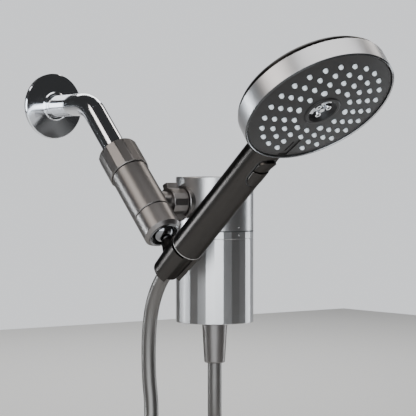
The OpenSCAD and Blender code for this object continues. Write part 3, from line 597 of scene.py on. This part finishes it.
class ShowerFinishSettings(bpy.types.PropertyGroup):
    chrome: FloatVectorProperty(
        name="Chrome", description="Tint of the polished chrome", subtype="COLOR",
        default=(0.74, 0.75, 0.77),
    )
    # The joint tint darkens the ball's and the collar trim's chrome: painted shade for the ball deep in the collar
    # and a painted reflection of dark surroundings.
    joint: FloatVectorProperty(
        name="Joint", description="Tint of the dark chrome of the ball joint", subtype="COLOR",
        default=(0.20, 0.20, 0.205),
    )
    body: FloatVectorProperty(
        name="Bracket", description="Colour of the bracket and its nuts", subtype="COLOR",
        default=(0.20, 0.187, 0.18),
    )
    filter: FloatVectorProperty(
        name="Filter", description="Colour of the filter housing", subtype="COLOR",
        default=(0.47, 0.46, 0.455),
    )
    handset: FloatVectorProperty(
        name="Handset", description="Colour of the handle, cradle and hose nuts", subtype="COLOR",
        default=(0.056, 0.052, 0.049),
    )
    rim: FloatVectorProperty(
        name="Rim", description="Colour of the head's rim band", subtype="COLOR",
        default=(0.50, 0.495, 0.50),
    )
    hose: FloatVectorProperty(
        name="Hose", description="Colour of the metal hose", subtype="COLOR",
        default=(0.05, 0.046, 0.044),
    )
    face: FloatVectorProperty(
        name="Face", description="Colour of the spray face", subtype="COLOR",
        default=(0.014, 0.0125, 0.012),
    )
    nozzle: FloatVectorProperty(
        name="Nozzles", description="Colour of the silicone nozzles", subtype="COLOR",
        default=(0.88, 0.94, 1.0),
    )
    edge: FloatProperty(
        name="Edge", description="Width of the broken edges on turned parts", default=0.45 * MM,
        unit="LENGTH",
    )


class ShowerHeadSettings(bpy.types.PropertyGroup):
    rim_diameter: FloatProperty(
        name="Rim diameter", description="Outer diameter of the head's rim band", default=127 * MM,
        unit="LENGTH",
    )
    face_diameter: FloatProperty(
        name="Face diameter", description="Diameter of the spray face plate", default=122.2 * MM,
        unit="LENGTH",
    )
    face_rise: FloatProperty(
        name="Face rise", description="Height of the plate's centre over its edge",
        default=4.5 * MM, unit="LENGTH",
    )
    face_top: FloatProperty(
        name="Face top", description="Height of the plate's centre over the rim", default=3.0 * MM,
        unit="LENGTH",
    )
    first_ring: IntProperty(name="First ring", description="Nozzles in the inner ring", default=12)
    added: IntProperty(name="Added", description="Nozzles that each ring has more", default=4)
    rings: IntProperty(name="Rings", description="Number of nozzle rings", default=4)
    first_radius: FloatProperty(
        name="First radius", description="Radius of the inner ring", default=23.6 * MM,
        unit="LENGTH",
    )
    step: FloatProperty(
        name="Step", description="Distance between rings", default=8.8 * MM, unit="LENGTH"
    )
    nozzle: FloatProperty(
        name="Nozzle", description="Diameter of a nozzle at its foot", default=4.0 * MM,
        unit="LENGTH",
    )


class ShowerStageSettings(bpy.types.PropertyGroup):
    floor_gap: FloatProperty(
        name="Floor gap", description="Height of the object above the floor", default=0.12,
        unit="LENGTH",
    )
    front: FloatProperty(
        name="Front", description="Power of the front softbox in watts", default=34
    )
    top: FloatProperty(name="Top", description="Power of the overhead softbox in watts", default=9)
    left: FloatProperty(name="Left", description="Power of the left softbox in watts", default=6)
    right: FloatProperty(name="Right", description="Power of the right softbox in watts", default=3)
    strip: FloatProperty(name="Strip", description="Power of the strip light in watts", default=4)
    side: FloatProperty(name="Side", description="Power of the side softbox in watts", default=6)
    back: FloatProperty(name="Back", description="Power of the floor light in watts", default=75)
    sky: FloatProperty(name="Backdrop", description="Brightness behind the object", default=1.05)
    room: FloatProperty(name="Room", description="Brightness in front of the object", default=0.04)


# ---- operators ----


class SHOWER_OT_camera(bpy.types.Operator):
    """Set up the camera, a long lens from the room's left side"""

    bl_idname = "shower.camera"
    bl_label = "Camera"

    def execute(self, context):
        lens = bpy.data.cameras.new("camera")
        lens.sensor_width = 36
        lens.lens = 142.2
        down, turned = math.radians(0.976), math.radians(-37)
        camera = bpy.data.objects.new("camera", lens)
        camera.location = (-0.8449, -1.3730, -0.0718)
        camera.rotation_euler = (math.radians(90) - down, 0, turned)
        context.scene.collection.objects.link(camera)
        context.scene.camera = camera
        return {"FINISHED"}


class SHOWER_OT_hose(bpy.types.Operator):
    """Run the hose from the handset's nut through the stored coil to the filter's nut"""

    bl_idname = "shower.hose"
    bl_label = "Hose"

    def execute(self, context):
        hose = context.scene.shower_hose
        line = hose_line(hose)
        spacing = (line[1] - line[0]).length
        cuts = [round(length * MM / spacing) for length in CORD_CUTS] + [len(line) - 1]
        links = (
            ("hose_at_nut", "hose_nut", "cradle"),
            ("hose_bend", "cradle", "swivel_seat"),
            ("hose_fall", "swivel_seat", "root"),
            ("hose_store", "root", "filter_shell"),
        )
        nut_end = HANDLE_END - NUT_MOUTH * HANDLE
        for (name, above, below), first, last in zip(links, cuts, cuts[1:]):
            path = line[first:last + 1]
            piece = tube(name, path, hose.diameter / 2, hose.sides, first * spacing)
            piece.data.materials.append(finish_for("hose_metal"))
            start, end = (nut_end if not first else path[0]), path[-1]
            if name == "hose_store":
                start = end - Vector((0, 0, 62 * MM))
                end = end - Vector((0, 0, 9 * MM))
            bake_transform(piece)
        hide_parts("hose_handset_run")
        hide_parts("hose_coil", "hose_filter_run")
        paint("coil_ties")
        return {"FINISHED"}


class SHOWER_OT_arm(bpy.types.Operator):
    """Finish the chromed arm and the flange that covers its hole in the wall"""

    bl_idname = "shower.arm"
    bl_label = "Arm and flange"

    def execute(self, context):
        paint("shower_arm")
        paint("wall_flange")
        paint("flange_gasket")
        return {"FINISHED"}


class SHOWER_OT_bracket(bpy.types.Operator):
    """Finish the inlet nut, the bracket's body, its collar and the ball joint"""

    bl_idname = "shower.bracket"
    bl_label = "Bracket"

    def execute(self, context):
        edge = context.scene.shower_finish.edge
        dress("inlet_nut", edge, LEG, sharp=FLATS)
        for node in ("bracket_body", "ball_collar"):
            dress(node, edge, LEG)
        # The collar trim and the ball take a darkened copy of the chrome, painted shade.
        dress("collar_trim", 0.3 * MM, look="shaded_joint_chrome")
        paint("cradle_ball", look="shaded_joint_chrome")
        for node in ("ball_ring", "swivel_seat", "inlet_washer", "inlet_screen"):
            paint(node, LEG)
        return {"FINISHED"}


class SHOWER_OT_filter(bpy.types.Operator):
    """Finish the union nut, the filter housing and the cartridge inside it"""

    bl_idname = "shower.filter"
    bl_label = "Filter"

    def execute(self, context):
        edge = context.scene.shower_finish.edge
        up = Vector((0, 0, 1))
        dress("union_nut", edge, X, sharp=FLATS)
        dress("cap_ring", edge, X)
        dress("filter_cap", edge, up)
        dress("lock_ring", 0.15 * MM, up, sharp=FACETS, crisp=FACET_CRISP)
        dress("filter_shell", 0.2 * MM, up, sharp=FACETS, crisp=FACET_CRISP)
        # The lower hose nut takes the lighter bracket finish instead of its handset slot's: a lit copy of the
        # nuts' dark metal, painted light for the light that falls on it below the filter.
        dress("lower_hose_nut", edge, up, look="gunmetal_body")
        radius = furthest("filter_cap", X).x - FILTER_AXIS.x
        seam = Vector((FILTER_AXIS.x, FILTER_AXIS.y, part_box("lock_ring")[1].z))
        # A black bead over the seam between the cap and the lock ring is painted shade: it stands for the shadow
        # in the gap there.
        band(
            "cap_seam", "root", "black_rubber", Matrix.Translation(seam),
            bead(radius, 0.8 * MM, 0.06 * MM),
        )
        for node in (
            "union_seal", "housing_seal", "cartridge_top", "cartridge_tube", "filter_media",
            "cartridge_base", "cartridge_seal", "outlet_nipple", "lower_hose_washer",
        ):
            paint(node, up)
        return {"FINISHED"}


class SHOWER_OT_cradle(bpy.types.Operator):
    """Finish the open cradle that the handset hangs in, and the nut that rests in it"""

    bl_idname = "shower.cradle"
    bl_label = "Cradle"

    def execute(self, context):
        edge = context.scene.shower_finish.edge
        dress("cradle", edge, HANDLE)
        dress("upper_hose_nut", edge, HANDLE)
        paint("cradle_screw", LEG)
        paint("upper_hose_washer", HANDLE)
        return {"FINISHED"}


class SHOWER_OT_handle(bpy.types.Operator):
    """Finish the handle, its spray button and what is inside"""

    bl_idname = "shower.handle"
    bl_label = "Handle"

    def execute(self, context):
        edge = context.scene.shower_finish.edge
        dress("handle_shell", 0.35 * MM, HANDLE, round_grain=False)
        dress("spray_button", 0.8 * MM, HANDLE, round_grain=False)
        dress("button_bezel", 0.2 * MM)
        radius = furthest("handle_shell", X).x
        lip = HANDLE_END + 0.9 * MM * HANDLE
        turn = HANDLE.to_track_quat("Z", "Y").to_matrix().to_4x4()
        band(
            "handle_lip", "handset", "satin_rim", Matrix.Translation(lip) @ turn,
            bead(radius, 0.7 * MM, 0.12 * MM),
        )
        wire = bmesh.new()
        wire.from_mesh(frame["nodes"]["valve_spring"].data)
        spring = link_mesh("valve_spring_wire", wire)
        spring.data.materials.append(finish_for(SLOTS["valve_spring"], HANDLE))
        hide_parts("valve_spring")
        inward = joint_axis("spray_button_press")
        furthest("valve_spring", inward)
        furthest("valve_spring", -inward)
        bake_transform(spring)
        for node in ("inlet_nipple", "flow_restrictor", "water_tube", "valve_sleeve"):
            paint(node, HANDLE)
        return {"FINISHED"}


class SHOWER_OT_head(bpy.types.Operator):
    """Finish the head's shell, rim band, face plate and inner parts"""

    bl_idname = "shower.head"
    bl_label = "Head"

    def execute(self, context):
        edge = context.scene.shower_finish.edge
        dress("head_shell", edge, FACE, crisp=HEAD_CRISP)
        dress("rim_ring", 0.3 * MM, FACE)
        rim = context.scene.shower_head.rim_diameter / 2
        # A glossy black ring over the rim's front edge is painted shade: it stands for the shadow in the groove
        # between the rim band and the face.
        groove = [(-0.3, -1.2), (0.04, -0.98), (-0.98, 0.06), (-1.2, -0.3)]
        band(
            "rim_groove", "handset", "gloss_black", placed_head(),
            [(rim + out * MM, up * MM) for out, up in groove],
        )
        dress("center_bezel", 0.5 * MM, FACE)
        dress("face_plate", 0.5 * MM, FACE)
        for node in (
            "face_key", "center_jets", "water_chamber", "chamber_screws",
            "distribution_plate", "head_seal", "turbine", "turbine_axle",
        ):
            paint(node, FACE)
        return {"FINISHED"}


class SHOWER_OT_nozzles(bpy.types.Operator):
    """Mould the silicone nozzles on their mat, in rings round the centre"""

    bl_idname = "shower.nozzles"
    bl_label = "Nozzles"

    def execute(self, context):
        head = context.scene.shower_head
        edge, rise = head.face_diameter / 2, head.face_rise
        ball = (edge * edge + rise * rise) / (2 * rise)
        top = head.face_top
        bm = bmesh.new()
        mat = [
            (radius, top - rise_lost(radius, ball) - depth)
            for depth, radii in ((3.0 * MM, (16.7, 28, 40, 54)), (4.2 * MM, (54, 40, 28, 16.7)))
            for radius in (value * MM for value in radii)
        ]
        lathe(bm, mat, 64, Matrix.Identity(4), closed=True)
        for ring in range(head.rings):
            count = head.first_ring + head.added * ring
            radius = head.first_radius + head.step * ring
            foot = top - rise_lost(radius, ball)
            for i in range(1 if ring > 1 else 0, count):
                angle = -math.pi / 2 + 2 * math.pi * i / count
                oval = 1.32 if ring == 0 and i % 2 else 1.0
                nub = (
                    Matrix.Rotation(angle, 4, "Z") @ Matrix.Translation((radius, 0, foot))
                    @ Matrix.Diagonal((1, oval, 1, 1))
                )
                lathe(bm, nozzle_profile(head.nozzle / 2), 16, nub)
        bm.transform(placed_head())
        piece = link_mesh("nozzles_moulded", bm)
        soften(piece, math.radians(40))
        finish_piece(piece, "handset", "nozzle_silicone", replaces=["nozzle_mat"])
        return {"FINISHED"}


class SHOWER_OT_stage(bpy.types.Operator):
    """Lay the pale floor and hang the studio lights"""

    bl_idname = "shower.stage"
    bl_label = "Stage"

    def execute(self, context):
        stage = context.scene.shower_stage
        bm = bmesh.new()
        bmesh.ops.create_grid(bm, x_segments=1, y_segments=1, size=3.5)
        bmesh.ops.translate(bm, verts=bm.verts, vec=(0, 0, CAD_BOX[0][2] - stage.floor_gap))
        floor = link_mesh("floor", bm)
        floor.data.materials.append(plain_material("pale_floor", (0.86, 0.855, 0.84), 0, 0.6)[0])
        self.surroundings(context, stage)
        cool, warm = (0.88, 0.94, 1.0), (1.0, 0.95, 0.9)
        self.lamp("front", (-1.15, -1.55, 0.12), stage.front, (1.9, 1.0), cool)
        self.lamp("top", (0, -0.78, 1.0), stage.top, (2.0, 0.5))
        self.lamp("left", (-1.05, -0.02, 0.66), stage.left, (0.7, 0.8), warm)
        self.lamp("right", (1.05, 0.02, 0.80), stage.right, (0.5, 0.5), warm)
        self.lamp("side", (1.25, -0.30, -0.05), stage.side, (0.35, 1.1), cool)
        self.lamp("strip", (-0.78, 0.78, -0.17), stage.strip, (0.18, 0.28), cool)
        self.lamp("back", (1.6, 2.2, 1.9), stage.back, (2.4, 2.4), (1, 1, 1), (1.8, 2.4, -0.6))
        return {"FINISHED"}

    def surroundings(self, context, stage):
        """A room that is pale behind the wall's side and darker towards its own middle."""
        world = bpy.data.worlds.new("studio")
        world.use_nodes = True
        tree = world.node_tree
        coords = tree.nodes.new("ShaderNodeTexCoord")
        facing = node_after(tree, "ShaderNodeVectorMath", operation="DOT_PRODUCT")
        facing.inputs[1].default_value = (0.6, 0.8, 0)
        tree.links.new(coords.outputs["Generated"], facing.inputs[0])
        glow = spread(tree, facing.outputs["Value"], stage.room, stage.sky, (0.86, 0.98))
        sky = tree.nodes["Background"]
        sky.inputs["Color"].default_value = (0.95, 0.97, 1.0, 1)
        tree.links.new(glow, sky.inputs["Strength"])
        context.scene.world = world

    def lamp(self, name, place, power, size, colour=(1, 1, 1), target=(0.02, -0.22, -0.1)):
        light = bpy.data.lights.new(name, "AREA")
        light.energy = power
        light.color = colour
        light.shape = "RECTANGLE"
        light.size, light.size_y = size
        holder = bpy.data.objects.new(name, light)
        holder.location = place
        aim = Vector(target) - holder.location
        holder.rotation_euler = aim.to_track_quat("-Z", "Y").to_euler()
        bpy.context.scene.collection.objects.link(holder)


class SHOWER_PT_panel(bpy.types.Panel):
    """Lists the shower's settings and its operators"""

    bl_label = "Hand shower"
    bl_idname = "SHOWER_PT_panel"
    bl_space_type = "VIEW_3D"
    bl_region_type = "UI"
    bl_category = "Shower"

    def draw(self, context):
        for group in ("shower_hose", "shower_finish", "shower_head", "shower_stage"):
            settings = getattr(context.scene, group)
            box = self.layout.box()
            for name in settings.__annotations__:
                box.prop(settings, name)
        for operator in OPERATORS:
            self.layout.operator(operator.bl_idname)


OPERATORS = (
    SHOWER_OT_camera, SHOWER_OT_hose, SHOWER_OT_arm, SHOWER_OT_bracket, SHOWER_OT_filter,
    SHOWER_OT_cradle, SHOWER_OT_handle, SHOWER_OT_head, SHOWER_OT_nozzles, SHOWER_OT_stage,
)
SETTINGS = {
    "shower_hose": ShowerHoseSettings,
    "shower_finish": ShowerFinishSettings,
    "shower_head": ShowerHeadSettings,
    "shower_stage": ShowerStageSettings,
}


def register():
    for kind in (*SETTINGS.values(), *OPERATORS, SHOWER_PT_panel):
        bpy.utils.register_class(kind)
    for name, kind in SETTINGS.items():
        setattr(bpy.types.Scene, name, PointerProperty(type=kind))


def unregister():
    for name in SETTINGS:
        delattr(bpy.types.Scene, name)
    for kind in reversed((*SETTINGS.values(), *OPERATORS, SHOWER_PT_panel)):
        bpy.utils.unregister_class(kind)


def main():
    register()
    bpy.ops.shower.camera()
    bpy.ops.shower.hose()
    bpy.ops.shower.arm()
    bpy.ops.shower.bracket()
    bpy.ops.shower.filter()
    bpy.ops.shower.cradle()
    bpy.ops.shower.handle()
    bpy.ops.shower.head()
    bpy.ops.shower.nozzles()
    bpy.ops.shower.stage()


if __name__ == "__main__":
    main()
